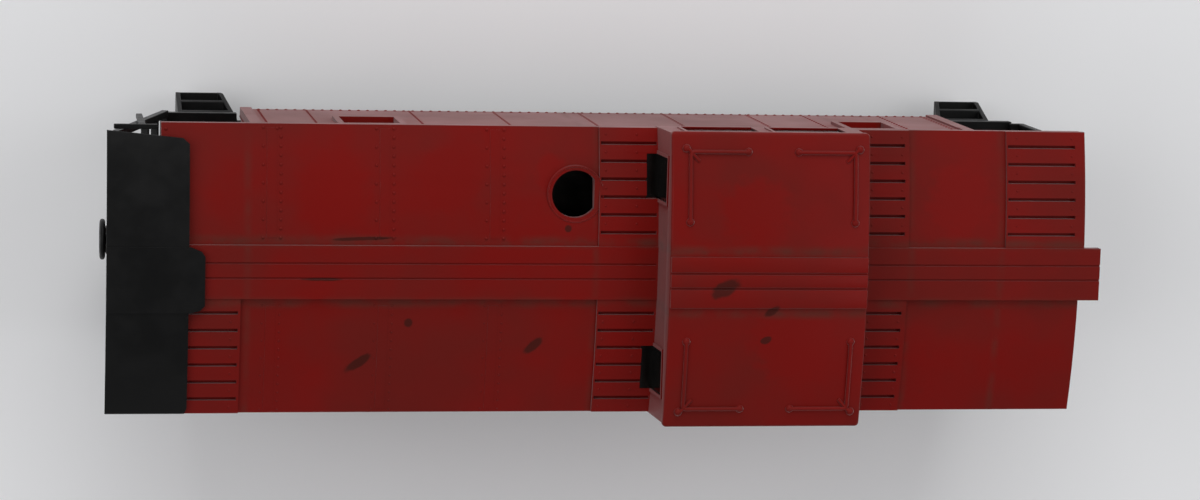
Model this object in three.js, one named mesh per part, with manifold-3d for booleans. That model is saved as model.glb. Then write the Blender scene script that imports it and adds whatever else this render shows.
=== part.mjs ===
// HO scale wide-cupola caboose: red moulded body on a black underframe and two swivelling trucks.
// Millimetres. +X runs along the car towards its A end, +Z is up, and z = 0 is the floor that the
// wheel flanges stand on. The origin is under the middle of the car.

import * as THREE from 'three';
import Module from 'manifold-3d';
import { mergeVertices } from 'three/addons/utils/BufferGeometryUtils.js';

const wasm = await Module();
wasm.setup();

// ---------------------------------------------------------------- driving dimensions
const GAP = 0.3;                 // clearance left between separate pieces

const ROOF_LENGTH = 119.2;
const ROOF_HALF_WIDTH = 18.4;
const ROOF_CROWN = 2.4;          // rise of the cambered roof from eave to ridge
const ROOF_THICKNESS = 1.1;
const EAVE_Z = 40;               // top of the roof sheet along the eaves
const CAMBER_STEPS = 12;

const BODY_HALF_LENGTH = 47.9;   // outer faces of the end walls
const BODY_HALF_WIDTH = 17.3;    // outer faces of the side walls
const WALL = 1.2;
const SILL_Z = 12.3;             // bottom edge of the side walls
const POST_WIDTH = 1.5;          // raised posts at the corners of the body
const POST_PROUD = 0.25;

const BOARD_RISE = 0.45;         // lateral boards above the roof sheet
const WALK_HALF_WIDTH = 3.4;     // lengthwise running board
const WALK_RISE = 0.55;          // its top above the ridge
const WALK_OVERHANG = [2.0, 2.6]; // past the B and A ends of the roof
const WALK_GROOVES = [1.15, -0.75];
const GROOVE = 0.24;
const GROOVE_DEPTH = 0.16;
const SLOT_FIRST = 5.2;          // first gap between lateral boards, from the centre line
const SLOT_PITCH = 2.25;
const SLOT_COUNT = 6;
const SLOT_WIDTH = 0.42;
const SLOT_DEPTH = 0.75;

const CUPOLA_X = [3.2, 29.4];    // outer faces of its front and rear walls at the roof
const CUPOLA_LEAN = 0.5;         // how far each of those walls leans in at its top
const CUPOLA_HALF_WIDTH = 18.55;
const CUPOLA_WALL_TOP = 47.5;
const CUPOLA_BOTTOM = 39.4;      // its walls start inside the roof sheet
const CUPOLA_LEDGE = 41.2;       // above this it is hollow out to its own side walls
const CUPOLA_ROOF_EDGE = 48.6;   // top of its roof at the edge
const CUPOLA_ROOF_CROWN = 1.9;
const CUPOLA_ROOF_HALF_WIDTH = 18.85;
const CUPOLA_WALK_RISE = 0.35;
const CUPOLA_SIDE_WINDOWS = [[6.0, 15.2], [17.4, 26.6]];
const CUPOLA_SIDE_WINDOW_Z = [41.6, 46.3];
const CUPOLA_WINDOW_Y = [9.5, 15.2];
const CUPOLA_WINDOW_Z = [41.2, 46.5];

const STACK_HOLE = { x: -7.35, y: 10, radius: 3.05, flat: 2.4, collarTop: 41.95, collar: 0.6 };

const SIDE_WINDOW_Z = [23.4, 32.4];
// on the left side; the right side is half a turn round
const SIDE_WINDOW_X = [[-36.7, -27.9], [30.2, 37.7]];
const SIDE_WINDOW_RIM = 0.8;
const SIDE_WINDOW_PROUD = 0.4;
const SIDE_WINDOW_RECESS = 0.5;

const DOOR_HALF_WIDTH = 4.6;
const DOOR_Z = [14.6, 37];
const DOOR_WINDOW = { halfWidth: 2, z: [26.5, 33.5] };

const FLOOR_BOTTOM = 12.4;
const FLOOR_TOP = 13.8;
const PLATFORM_END = 58.3;       // outer edge of each end platform
const PLATFORM_HALF_WIDTH = 16.85;

const TRUCK_X = 33.5;            // truck centres, from the middle of the car
const HALF_WHEELBASE = 10.5;
const TREAD_RADIUS = 4.8;
const FLANGE_RADIUS = 5.45;
const WHEEL_BACK = 7.2;          // half the distance between the wheel backs
const WHEEL_WIDTH = 2.8;
const AXLE_RADIUS = 1.1;
const AXLE_END_RADIUS = 0.6;
const AXLE_HALF_LENGTH = 12.2;
const FRAME_INNER = 11.2;        // inner faces of the truck side frames
const FRAME_OUTER = 13.0;
const BOLSTER_TOP = 8.7;

const COUPLER_Z = 10.55;         // coupler centre height
const COUPLER_PIVOT_X = 52.8;
const COUPLER_SHANK_HALF = 1.3;
const COUPLER_HEAD_X = 59.8;
const KNUCKLE_PIN = { x: 63.6, y: 2.0, radius: 0.45 };

const STEP_OUTER_X = 56.0;
const STEP_INNER_TOP_X = 48.2;
const STEP_INNER_FOOT_X = 49.9;
const STEP_Y = [12.9, 18.6];
const STEP_TOP_Y = 16.0;         // the stringers slope in to here at the platform
const STEP_FOOT_Z = 3.8;
const STEP_PITCH = 2.9;

const END_FRAME_FOOT = -58.2;    // the B end frame leans out from here
const END_FRAME_TOP = -65.9;
const CANOPY_OUTER = -66.3;
const CANOPY_INNER = -56.1;
const CANOPY_THICKNESS = 0.5;
const BRAKE_WHEEL = { y: 3.3, z: 37.4, radius: 2.6, out: 1.85 };

// ---------------------------------------------------------------- materials
const redPlastic = new THREE.MeshStandardMaterial({ color: '#a51b18', roughness: 0.5, metalness: 0 });
const blackPlastic = new THREE.MeshStandardMaterial({ color: '#191817', roughness: 0.55, metalness: 0 });
const darkPlastic = new THREE.MeshStandardMaterial({ color: '#15120f', roughness: 0.15, metalness: 0 });
const wheelMetal = new THREE.MeshStandardMaterial({ color: '#6f6a64', roughness: 0.35, metalness: 0.9 });
const steel = new THREE.MeshStandardMaterial({ color: '#8b8a86', roughness: 0.4, metalness: 0.9 });

// ---------------------------------------------------------------- solids
function solid(geometry) {
  geometry.deleteAttribute('normal');
  geometry.deleteAttribute('uv');
  const merged = mergeVertices(geometry, 1e-5);
  return new wasm.Manifold(new wasm.Mesh({
    numProp: 3,
    vertProperties: new Float32Array(merged.attributes.position.array),
    triVerts: new Uint32Array(merged.index.array),
  }));
}

function box([x0, x1], [y0, y1], [z0, z1]) {
  const geometry = new THREE.BoxGeometry(x1 - x0, y1 - y0, z1 - z0);
  geometry.translate((x0 + x1) / 2, (y0 + y1) / 2, (z0 + z1) / 2);
  return solid(geometry);
}

// A straight prism: the outline is drawn in the two axes after the one it is extruded along.
function prism(axis, outline, [from, to]) {
  const shape = outline instanceof THREE.Shape
    ? outline
    : new THREE.Shape(outline.map(([a, b]) => new THREE.Vector2(a, b)));
  const geometry = new THREE.ExtrudeGeometry(shape, {
    depth: to - from, bevelEnabled: false, curveSegments: 10,
  });
  geometry.translate(0, 0, from);
  const turn = new THREE.Matrix4();
  if (axis === 'x') turn.set(0, 0, 1, 0, 1, 0, 0, 0, 0, 1, 0, 0, 0, 0, 0, 1);   // outline in Y, Z
  if (axis === 'y') turn.set(0, 1, 0, 0, 0, 0, 1, 0, 1, 0, 0, 0, 0, 0, 0, 1);   // outline in Z, X
  geometry.applyMatrix4(turn);
  return solid(geometry);
}

// A round bar along one axis, through a point given by its other two coordinates.
function bar(axis, [a, b], [from, to], radius, sides = 20, endRadius = radius) {
  const geometry = new THREE.CylinderGeometry(endRadius, radius, to - from, sides);
  geometry.rotateX(Math.PI / 2);
  geometry.translate(a, b, (from + to) / 2);
  const turn = new THREE.Matrix4();
  if (axis === 'x') turn.set(0, 0, 1, 0, 1, 0, 0, 0, 0, 1, 0, 0, 0, 0, 0, 1);
  if (axis === 'y') turn.set(0, 1, 0, 0, 0, 0, 1, 0, 1, 0, 0, 0, 0, 0, 0, 1);
  geometry.applyMatrix4(turn);
  return solid(geometry);
}

// A turned piece: the profile is [radius, distance along the axis] pairs, turned about +Y.
function turned(profile, sides) {
  const points = profile.map(([radius, along]) => new THREE.Vector2(radius, along));
  return solid(new THREE.LatheGeometry(points, sides));
}

// The two numbers in rising order.
function span(a, b) {
  return [Math.min(a, b), Math.max(a, b)];
}

function join(pieces) {
  return pieces.reduce((whole, piece) => whole.add(piece));
}

function mesh(name, piece, material) {
  const data = piece.getMesh();
  const geometry = new THREE.BufferGeometry();
  geometry.setAttribute('position', new THREE.BufferAttribute(data.vertProperties, 3));
  geometry.setIndex(new THREE.BufferAttribute(data.triVerts, 1));
  geometry.computeVertexNormals();
  const result = new THREE.Mesh(geometry, material);
  result.name = name;
  return result;
}

function halfTurn(piece) {
  return piece.rotate([0, 0, 180]);
}

// ---------------------------------------------------------------- roof camber
function camber(y, edge, crown, half) {
  return edge + crown * (1 - (y / half) ** 2);
}

// A slab that follows the roof camber between y0 and y1, from `low` to `high` above the sheet.
function camberedSlab([x0, x1], [y0, y1], low, high, edge = EAVE_Z, crown = ROOF_CROWN) {
  const ys = [];
  for (let i = 0; i <= CAMBER_STEPS; i += 1) ys.push(y0 + ((y1 - y0) * i) / CAMBER_STEPS);
  const height = (y) => camber(y, edge, crown, ROOF_HALF_WIDTH);
  const bottom = ys.map((y) => [y, height(y) + low]);
  const top = ys.map((y) => [y, height(y) + high]).reverse();
  return prism('x', [...bottom, ...top], [x0, x1]);
}

function slotRow([x0, x1], side) {
  const cuts = [];
  for (let i = 0; i < SLOT_COUNT; i += 1) {
    const y = side * (SLOT_FIRST + SLOT_PITCH * i);
    const floor = camber(y, EAVE_Z, ROOF_CROWN, ROOF_HALF_WIDTH) + BOARD_RISE - SLOT_DEPTH;
    cuts.push(box([x0, x1], [y - SLOT_WIDTH / 2, y + SLOT_WIDTH / 2], [floor, floor + 3]));
  }
  return join(cuts);
}

// ---------------------------------------------------------------- body
function cupolaBlock(inset, [z0, z1], halfWidth) {
  const lean = (z) => (CUPOLA_LEAN * (z - EAVE_Z)) / (CUPOLA_WALL_TOP - EAVE_Z);
  const [front, rear] = CUPOLA_X;
  return prism('y', [
    [z0, front + lean(z0) + inset], [z0, rear - lean(z0) - inset],
    [z1, rear - lean(z1) - inset], [z1, front + lean(z1) + inset],
  ], [-halfWidth, halfWidth]);
}

// A raised frame around a blanked window on the left side.
function sideWindow([x0, x1]) {
  const [z0, z1] = SIDE_WINDOW_Z;
  const rim = SIDE_WINDOW_RIM;
  const y = BODY_HALF_WIDTH;
  return {
    frame: box([x0, x1], [y - 0.5, y + SIDE_WINDOW_PROUD], [z0, z1]),
    recess: box([x0 + rim, x1 - rim], [y - SIDE_WINDOW_RECESS, y + 1], [z0 + rim, z1 - rim]),
  };
}

function cornerPosts() {
  const top = EAVE_Z - ROOF_THICKNESS + 0.1;
  const xs = [BODY_HALF_LENGTH - POST_WIDTH, BODY_HALF_LENGTH];
  return [-1, 1].flatMap((end) => [-1, 1].map((side) => box(
    span(end * xs[0], end * xs[1]),
    span(side * (BODY_HALF_WIDTH - 0.2), side * (BODY_HALF_WIDTH + POST_PROUD)),
    [SILL_Z, top],
  )));
}

function bodyShell() {
  const halfRoof = ROOF_LENGTH / 2;
  const ridge = EAVE_Z + ROOF_CROWN;
  const edge = ROOF_HALF_WIDTH;
  const [front, rear] = CUPOLA_X;

  const walls = box(
    [-BODY_HALF_LENGTH, BODY_HALF_LENGTH], [-BODY_HALF_WIDTH, BODY_HALF_WIDTH], [SILL_Z, EAVE_Z],
  );
  const sheet = camberedSlab([-halfRoof, halfRoof], [-edge, edge], -ROOF_THICKNESS, 0);
  const laterals = [
    camberedSlab([front - 7.5, rear + 7.0], [-edge, edge], -0.5, BOARD_RISE),
    camberedSlab([halfRoof - 10.2, halfRoof + 0.4], [0, edge], -0.5, BOARD_RISE),
    camberedSlab([-halfRoof - 0.4, -halfRoof + 10], [-edge, 0], -0.5, BOARD_RISE),
  ];
  const walk = box(
    [-halfRoof - WALK_OVERHANG[0], halfRoof + WALK_OVERHANG[1]],
    [-WALK_HALF_WIDTH, WALK_HALF_WIDTH],
    [ridge - 0.7, ridge + WALK_RISE],
  );
  const stack = [STACK_HOLE.x, STACK_HOLE.y];
  const collar = bar('z', stack, [EAVE_Z, STACK_HOLE.collarTop], STACK_HOLE.radius + STACK_HOLE.collar, 32);
  const cupola = cupolaBlock(0, [CUPOLA_BOTTOM, CUPOLA_WALL_TOP], CUPOLA_HALF_WIDTH);
  const windows = SIDE_WINDOW_X.map(sideWindow);
  const frames = windows.flatMap(({ frame }) => [frame, halfTurn(frame)]);
  const doors = [-BODY_HALF_LENGTH, BODY_HALF_LENGTH].map((x) => box(
    [x - 0.3, x + 0.3], [-DOOR_HALF_WIDTH, DOOR_HALF_WIDTH], DOOR_Z,
  ));
  const outside = join([
    walls, sheet, ...laterals, walk, collar, cupola, ...frames, ...doors, ...cornerPosts(),
  ]);

  // hollow inside the walls, under the roof sheet and inside the cupola
  const inX = BODY_HALF_LENGTH - WALL;
  const inY = BODY_HALF_WIDTH - WALL;
  const inside = join([
    box([-inX, inX], [-inY, inY], [FLOOR_TOP, EAVE_Z - ROOF_THICKNESS]),
    camberedSlab([-inX, inX], [-inY, inY], -ROOF_THICKNESS - 3, -ROOF_THICKNESS),
    cupolaBlock(WALL, [EAVE_Z - 4, CUPOLA_LEDGE + 0.1], inY),
    cupolaBlock(WALL, [CUPOLA_LEDGE, CUPOLA_WALL_TOP + 1], CUPOLA_HALF_WIDTH - WALL),
    box([-BODY_HALF_LENGTH - 1, BODY_HALF_LENGTH + 1], [-inY, inY], [SILL_Z - 1, FLOOR_TOP + GAP]),
  ]);

  // gaps between boards, grooves and openings
  const walkTop = ridge + WALK_RISE;
  const grooves = WALK_GROOVES.flatMap((y) => [[-80, front], [rear, 80]].map((xs) => box(
    xs, [y - GROOVE / 2, y + GROOVE / 2], [walkTop - GROOVE_DEPTH, walkTop + 1],
  )));
  const stackHole = bar('z', stack, [30, 45], STACK_HOLE.radius, 32)
    .subtract(box([STACK_HOLE.x + STACK_HOLE.flat, STACK_HOLE.x + 5], [0, 20], [29, 46]));
  const cuts = join([
    ...[1, -1].flatMap((side) => [
      slotRow([front - 7.3, front - 0.05], side), slotRow([rear + 0.05, rear + 6.4], side),
    ]),
    slotRow([halfRoof - 10, halfRoof - 0.9], 1),
    slotRow([-halfRoof + 0.9, -halfRoof + 9.7], -1),
    ...grooves,
    stackHole,
    ...windows.flatMap(({ recess }) => [recess, halfTurn(recess)]),
    ...[1, -1].map((side) => box(
      [front - 1.4, rear + 1.4], span(side * CUPOLA_WINDOW_Y[0], side * CUPOLA_WINDOW_Y[1]), CUPOLA_WINDOW_Z,
    )),
    ...CUPOLA_SIDE_WINDOWS.map((xs) => box(xs, [-20, 20], CUPOLA_SIDE_WINDOW_Z)),
    box([-50, 50], [-DOOR_WINDOW.halfWidth, DOOR_WINDOW.halfWidth], DOOR_WINDOW.z),
  ]);
  return outside.subtract(inside).subtract(cuts);
}

// An L-shaped bar on the cupola roof: along X from its corner, then along Y.
function grabIron([x0, y0], [x1, y1], height) {
  const rise = 0.45;
  const thick = 0.22;
  const pieces = [box(
    [Math.min(x0, x1) - thick, Math.max(x0, x1) + thick],
    [y0 - thick, y0 + thick],
    [height(y0) - 0.4, height(y0) + rise],
  )];
  const steps = 4;
  for (let i = 0; i < steps; i += 1) {
    const ys = span(y0 + ((y1 - y0) * i) / steps, y0 + ((y1 - y0) * (i + 1)) / steps);
    const top = Math.min(height(ys[0]), height(ys[1])) + rise + 0.05;
    pieces.push(box([x0 - thick, x0 + thick], [ys[0] - 0.05, ys[1] + 0.05], [top - 1, top]));
  }
  return join(pieces);
}

function cupolaRoof() {
  const half = CUPOLA_ROOF_HALF_WIDTH;
  const x0 = CUPOLA_X[0] + 0.3;
  const x1 = CUPOLA_X[1] - 0.3;
  const bottom = CUPOLA_WALL_TOP + GAP;
  const height = (y) => camber(y, CUPOLA_ROOF_EDGE, CUPOLA_ROOF_CROWN, half);
  const ys = Array.from({ length: CAMBER_STEPS + 1 }, (_, i) => -half + (2 * half * i) / CAMBER_STEPS);
  const top = ys.map((y) => [y, height(y)]);
  const slab = prism('x', [[half, bottom], [-half, bottom], ...top].reverse(), [x0, x1]);
  const corner = 1.2;
  const outline = new THREE.Shape();
  outline.moveTo(x0 + corner, -half);
  outline.lineTo(x1 - corner, -half);
  outline.absarc(x1 - corner, -half + corner, corner, -Math.PI / 2, 0);
  outline.absarc(x1 - corner, half - corner, corner, 0, Math.PI / 2);
  outline.absarc(x0 + corner, half - corner, corner, Math.PI / 2, Math.PI);
  outline.absarc(x0 + corner, -half + corner, corner, Math.PI, 1.5 * Math.PI);
  const rounded = slab.intersect(prism('z', outline, [40, 60]));
  const walkTop = CUPOLA_ROOF_EDGE + CUPOLA_ROOF_CROWN + CUPOLA_WALK_RISE;
  const walk = box([x0 + 0.1, x1 - 0.1], [-WALK_HALF_WIDTH, WALK_HALF_WIDTH], [walkTop - 0.9, walkTop]);
  const grooves = WALK_GROOVES.map((y) => box(
    [0, 40], [y - GROOVE / 2, y + GROOVE / 2], [walkTop - GROOVE_DEPTH, walkTop + 1],
  ));
  const irons = [1, -1].flatMap((side) => [
    grabIron([x0 + 2.5, side * 16.3], [x0 + 9.5, side * 7.2], height),
    grabIron([x1 - 1.9, side * 16.3], [x1 - 8.9, side * 7.2], height),
  ]);
  return join([rounded, walk, ...irons]).subtract(join(grooves));
}

// ---------------------------------------------------------------- glazing
function cupolaGlazing() {
  const inset = WALL + GAP;
  const zs = [CUPOLA_LEDGE + GAP, CUPOLA_WALL_TOP - 0.4];
  const outer = cupolaBlock(inset, zs, CUPOLA_HALF_WIDTH - inset);
  const inner = cupolaBlock(inset + 0.8, [39, 48], CUPOLA_HALF_WIDTH - inset - 0.8);
  return outer.subtract(inner);
}

// ---------------------------------------------------------------- underframe
function underframe() {
  const wide = PLATFORM_HALF_WIDTH;
  const narrow = BODY_HALF_WIDTH - WALL - GAP;
  const neck = BODY_HALF_LENGTH + 0.5;
  const plate = prism('z', [
    [-PLATFORM_END, -wide], [-neck, -wide], [-neck, -narrow], [neck, -narrow], [neck, -wide],
    [PLATFORM_END, -wide], [PLATFORM_END, wide], [neck, wide], [neck, narrow], [-neck, narrow],
    [-neck, wide], [-PLATFORM_END, wide],
  ], [FLOOR_BOTTOM, FLOOR_TOP]);
  const joined = FLOOR_BOTTOM + 0.1;      // pieces under the plate run this far into it
  const sill = box([-29, 29], [-2.6, 2.6], [10, joined]);
  const crossBeams = [-16, 0, 16].map((x) => box([x - 0.7, x + 0.7], [-13.5, 13.5], [10.8, joined]));
  const pads = [-TRUCK_X, TRUCK_X].map((x) => bar('z', [x, 0], [9, joined], 3.4, 28));
  const pockets = [-1, 1].map((end) => {
    const block = box(span(end * 50.2, end * PLATFORM_END), [-4.1, 4.1], [9.2, joined]);
    return block.subtract(box(span(end * 51, end * (PLATFORM_END + 1)), [-3.2, 3.2], [9, 12]));
  });
  const posts = [-COUPLER_PIVOT_X, COUPLER_PIVOT_X].map((x) => bar('z', [x, 0], [9.2, 12.1], 0.9, 20));
  const screwHoles = [-TRUCK_X, TRUCK_X].map((x) => bar('z', [x, 0], [8, 20], 1.05, 16));
  return join([plate, sill, ...crossBeams, ...pads, ...pockets, ...posts]).subtract(join(screwHoles));
}

// A flight of platform steps: two stringers that slope in towards their top, three treads and a back.
function steps(side, end) {
  const ys = STEP_Y;
  const top = FLOOR_BOTTOM - GAP;
  const foot = STEP_FOOT_Z;
  const thick = 0.6;
  const inner = (z) => (
    STEP_INNER_FOOT_X + ((STEP_INNER_TOP_X - STEP_INNER_FOOT_X) * (z - foot)) / (top - foot)
  );
  const outerPlate = box([STEP_OUTER_X - thick, STEP_OUTER_X], ys, [foot, top]);
  const innerPlate = prism('y', [
    [foot, inner(foot)], [top, inner(top)], [top, inner(top) + thick], [foot, inner(foot) + thick],
  ], ys);
  const treads = [0, 1, 2].map((i) => {
    const z = foot + 0.2 + i * STEP_PITCH;
    return box([inner(z) + 0.2, STEP_OUTER_X - 0.1], ys, [z, z + 0.55]);
  });
  const back = prism('y', [
    [foot, inner(foot) + 0.2], [top, inner(top) + 0.2], [top, STEP_OUTER_X - 0.1], [foot, STEP_OUTER_X - 0.1],
  ].reverse(), [ys[0], ys[0] + 0.5]);
  const profile = prism('x', [
    [ys[0], foot], [ys[1], foot], [ys[1], foot + 1.2], [STEP_TOP_Y, top], [ys[0], top],
  ], [STEP_INNER_TOP_X - 1, STEP_OUTER_X + 1]);
  let piece = join([outerPlate, innerPlate, ...treads, back]).intersect(profile);
  if (end < 0) piece = piece.mirror([1, 0, 0]);
  if (side < 0) piece = piece.mirror([0, 1, 0]);
  return piece;
}

// ---------------------------------------------------------------- B end frame, canopy and brake gear
function leanX(z) {
  return END_FRAME_FOOT + ((END_FRAME_TOP - END_FRAME_FOOT) * (z - FLOOR_TOP)) / (EAVE_Z - FLOOR_TOP);
}

// A flat panel in the Y, Z plane with rectangular openings, its back face at x = 0.
function piercedPanel(ys, zs, openings, thickness) {
  const holes = openings.map(([y0, y1, z0, z1]) => box([-1, thickness + 1], [y0, y1], [z0, z1]));
  return box([0, thickness], ys, zs).subtract(join(holes));
}

// Openings between the rungs of a ladder.
function rungGaps([y0, y1], [low, high], count, rung = 0.6) {
  const pitch = (high - low + rung) / count;
  return Array.from({ length: count }, (_, i) => [y0, y1, low + i * pitch, low + (i + 1) * pitch - rung]);
}

function endFrameB() {
  const foot = FLOOR_TOP + GAP;
  const lean = Math.atan2(END_FRAME_FOOT - END_FRAME_TOP, EAVE_Z - FLOOR_TOP);
  const height = (EAVE_Z - 0.4 - foot) / Math.cos(lean);
  const rail = 11.2;
  const openings = [
    ...[[-16.3, -11.2], [-5.2, 0.3], [1.1, 6.9], [7.7, 11.7], [12.5, 16.3]].flatMap(([y0, y1]) => [
      [y0, y1, 0.9, 5.2], [y0, y1, 5.9, rail - 0.9],
    ]),
    ...rungGaps([-10.4, -6.0], [0.9, height - 1.1], 8),
    [-16.3, -11.2, rail, height - 1.1],
    [-5.2, 0.3, rail, height - 1.1],
    [1.1, 6.9, rail, 20.6],
    [7.7, 16.3, rail, height - 1.1],
  ];
  const panel = piercedPanel([-17.2, 17.2], [0, height], openings, 0.9)
    .rotate([0, (-lean * 180) / Math.PI, 0])
    .translate([leanX(foot), 0, foot]);
  const x = leanX(BRAKE_WHEEL.z);
  const hub = bar('x', [BRAKE_WHEEL.y, BRAKE_WHEEL.z], [x - 0.2, x + 1.6], 1.25, 20);
  const bore = bar('x', [BRAKE_WHEEL.y, BRAKE_WHEEL.z], [x - 5, x + 5], 0.72, 16);
  return panel.add(hub).subtract(bore);
}

// The bracket beside the end frame that carries one end of the canopy.
function canopyBracket(side) {
  const ys = span(side * 17.5, side * 18.1);
  return box([-62.2, -61.4], ys, [27, 39.9]).add(box([-65.4, -60], ys, [39.1, 39.9]));
}

function canopyB() {
  const rise = BOARD_RISE + GAP;
  const ridge = EAVE_Z + ROOF_CROWN;
  const ys = [-ROOF_HALF_WIDTH + 0.05, ROOF_HALF_WIDTH];
  const sheet = camberedSlab([CANOPY_OUTER, CANOPY_INNER], ys, rise, rise + CANOPY_THICKNESS);
  const outline = prism('z', [
    [CANOPY_OUTER, -18.3], [-56.4, -18.3], [CANOPY_INNER, -17.6], [CANOPY_INNER, 15.9], [-56.9, 16.6],
    [CANOPY_OUTER, 17.5],
  ], [30, 50]);
  const under = ridge + WALK_RISE + GAP;
  const hump = prism('z', [
    [CANOPY_OUTER, -5.1], [-55.9, -5.1], [-54.7, -4.8], [-54.1, -4.2], [-54.1, 2.0], [-54.5, 2.6],
    [-55.9, 3.2], [CANOPY_OUTER, 3.2],
  ], [ridge + rise, under + CANOPY_THICKNESS]);
  const hollow = box([CANOPY_OUTER + 4.1, -50], [-3.8, 3.8], [ridge - 2, under]);
  return sheet.intersect(outline).add(hump).subtract(hollow);
}

function brakeWheel() {
  // rim, hub, four spokes and the shaft, turned about the X axis
  const { y, z, radius } = BRAKE_WHEEL;
  const x = leanX(z) - BRAKE_WHEEL.out;
  const rim = bar('x', [y, z], [x, x + 0.7], radius, 26)
    .subtract(bar('x', [y, z], [x - 1, x + 1], radius - 0.6, 26));
  const hub = bar('x', [y, z], [x, x + 0.9], 0.8, 16);
  const shaft = bar('x', [y, z], [x + 0.5, x + 4.6], 0.42, 12);
  const spokes = [0, 60, 120].map((angle) => (
    box([x + 0.15, x + 0.55], [-radius + 0.3, radius - 0.3], [-0.25, 0.25])
      .rotate([angle, 0, 0]).translate([0, y, z])
  ));
  return join([rim, hub, shaft, ...spokes]);
}

// ---------------------------------------------------------------- A end railing and ladder
function endRailingA() {
  const foot = FLOOR_TOP + GAP;
  const columns = [[-16.4, -11.2], [-10.4, -4.6], [-3.8, 3.8]];
  const openings = columns.flatMap(([y0, y1]) => [[y0, y1, foot + 0.9, 18.8], [y0, y1, 19.6, 24.2]]);
  return piercedPanel([-17.2, 4.6], [foot, 25], openings, 0.9).translate([57.2, 0, 0]);
}

function endLadderA() {
  const foot = FLOOR_TOP + GAP;
  const top = 38.6;
  const openings = rungGaps([5.9, 15.9], [foot + 1.2, top - 0.9], 7);
  const ladder = piercedPanel([5.1, 16.7], [foot, top], openings, 0.9);
  return ladder.translate([59.0, 0, 0]).add(box([57.8, 59.3], [5.1, 16.7], [foot, foot + 0.8]));
}

// ---------------------------------------------------------------- trucks
function truckFrame() {
  const bolster = box([-3, 3], [-FRAME_INNER - 0.2, FRAME_INNER + 0.2], [5.6, BOLSTER_TOP - 0.4]);
  const centre = bar('z', [0, 0], [BOLSTER_TOP - 0.5, BOLSTER_TOP], 3.4, 28);
  const reach = HALF_WHEELBASE + 2.6;
  const side = prism('y', [
    [3.9, -reach], [7.4, -reach], [7.8, -reach + 3.4], [9.3, -5.2], [9.3, 5.2], [7.8, reach - 3.4],
    [7.4, reach], [3.9, reach], [3.9, reach - 4.2], [2.4, 4.6], [2.4, -4.6], [3.9, -reach + 4.2],
  ].reverse(), [FRAME_INNER, FRAME_OUTER]);
  const windows = [-1, 1].map((end) => prism('y', [
    [4.6, end * 3.6], [7.9, end * 3.6], [7.0, end * 7.6], [5.2, end * 7.6],
  ], [FRAME_INNER - 1, FRAME_OUTER + 1]));
  const boxes = [-1, 1].map((end) => box(
    [end * HALF_WHEELBASE - 1.5, end * HALF_WHEELBASE + 1.5],
    [FRAME_OUTER - 0.2, FRAME_OUTER + 0.7],
    [3.9, 7.1],
  ));
  const springs = [-1.9, 0, 1.9].map((x) => bar('z', [x, FRAME_OUTER], [3.2, 6.4], 0.85, 14));
  const journals = [-1, 1].map((end) => bar(
    'y', [FLANGE_RADIUS, end * HALF_WHEELBASE], [FRAME_INNER - 1, AXLE_HALF_LENGTH + GAP],
    AXLE_END_RADIUS + GAP, 16,
  ));
  let frame = join([side, ...boxes, ...springs]);
  frame = frame.subtract(join([...journals, ...windows]));
  const frames = frame.add(halfTurn(frame));
  const hole = bar('z', [0, 0], [0, 20], 1.15, 16);
  return join([frames, bolster, centre]).subtract(hole);
}

function wheel() {
  // tread with its coned face outwards, flange at the back; turned about +Y from the back face
  const w = WHEEL_WIDTH;
  const bore = AXLE_RADIUS + GAP / 2;
  return turned([
    [bore, 0], [FLANGE_RADIUS - 0.15, 0], [FLANGE_RADIUS, 0.4], [TREAD_RADIUS + 0.05, 0.9],
    [TREAD_RADIUS - 0.1, w], [TREAD_RADIUS - 0.8, w], [2.1, w - 0.6], [bore, w - 0.1], [bore, 0],
  ], 26);
}

function axle() {
  return turned([
    [0, -AXLE_HALF_LENGTH], [0.15, -AXLE_HALF_LENGTH], [AXLE_END_RADIUS, -AXLE_HALF_LENGTH + 0.8],
    [AXLE_END_RADIUS, -FRAME_INNER + 0.5], [AXLE_RADIUS, -FRAME_INNER + 0.7], [AXLE_RADIUS, FRAME_INNER - 0.7],
    [AXLE_END_RADIUS, FRAME_INNER - 0.5], [AXLE_END_RADIUS, AXLE_HALF_LENGTH - 0.8],
    [0.15, AXLE_HALF_LENGTH], [0, AXLE_HALF_LENGTH],
  ], 12);
}

// ---------------------------------------------------------------- couplers, for the A end
function coupler() {
  const z = [COUPLER_Z - 1.1, COUPLER_Z + 1.1];
  const shank = box([COUPLER_PIVOT_X, COUPLER_HEAD_X + 0.5], [-COUPLER_SHANK_HALF, COUPLER_SHANK_HALF], z);
  const eye = bar('z', [COUPLER_PIVOT_X, 0], z, 1.6, 20);
  const head = prism('z', [
    [COUPLER_HEAD_X, -1.3], [61.4, -2.9], [64.6, -3.4], [65.2, -2.6], [62.9, -1.5], [62.4, -0.3],
    [62.4, 1.0], [63.6, 3.1], [61.8, 3.1], [COUPLER_HEAD_X, 1.3],
  ], [COUPLER_Z - 1.7, COUPLER_Z + 1.7]);
  const jaw = box([62.5, 66], [0.9, 4], [COUPLER_Z - 1.1, COUPLER_Z + 1.1]);
  const at = [KNUCKLE_PIN.x, KNUCKLE_PIN.y];
  const lugs = bar('z', at, [COUPLER_Z - 1.7, COUPLER_Z + 1.7], 1.1, 20).subtract(jaw);
  const pin = bar('z', at, [COUPLER_Z - 1.6, COUPLER_Z + 1.6], KNUCKLE_PIN.radius, 14);
  const hole = bar('z', [COUPLER_PIVOT_X, 0], [5, 15], 1.1, 20);
  return join([shank, eye, head.subtract(jaw), lugs, pin]).subtract(hole);
}

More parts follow.
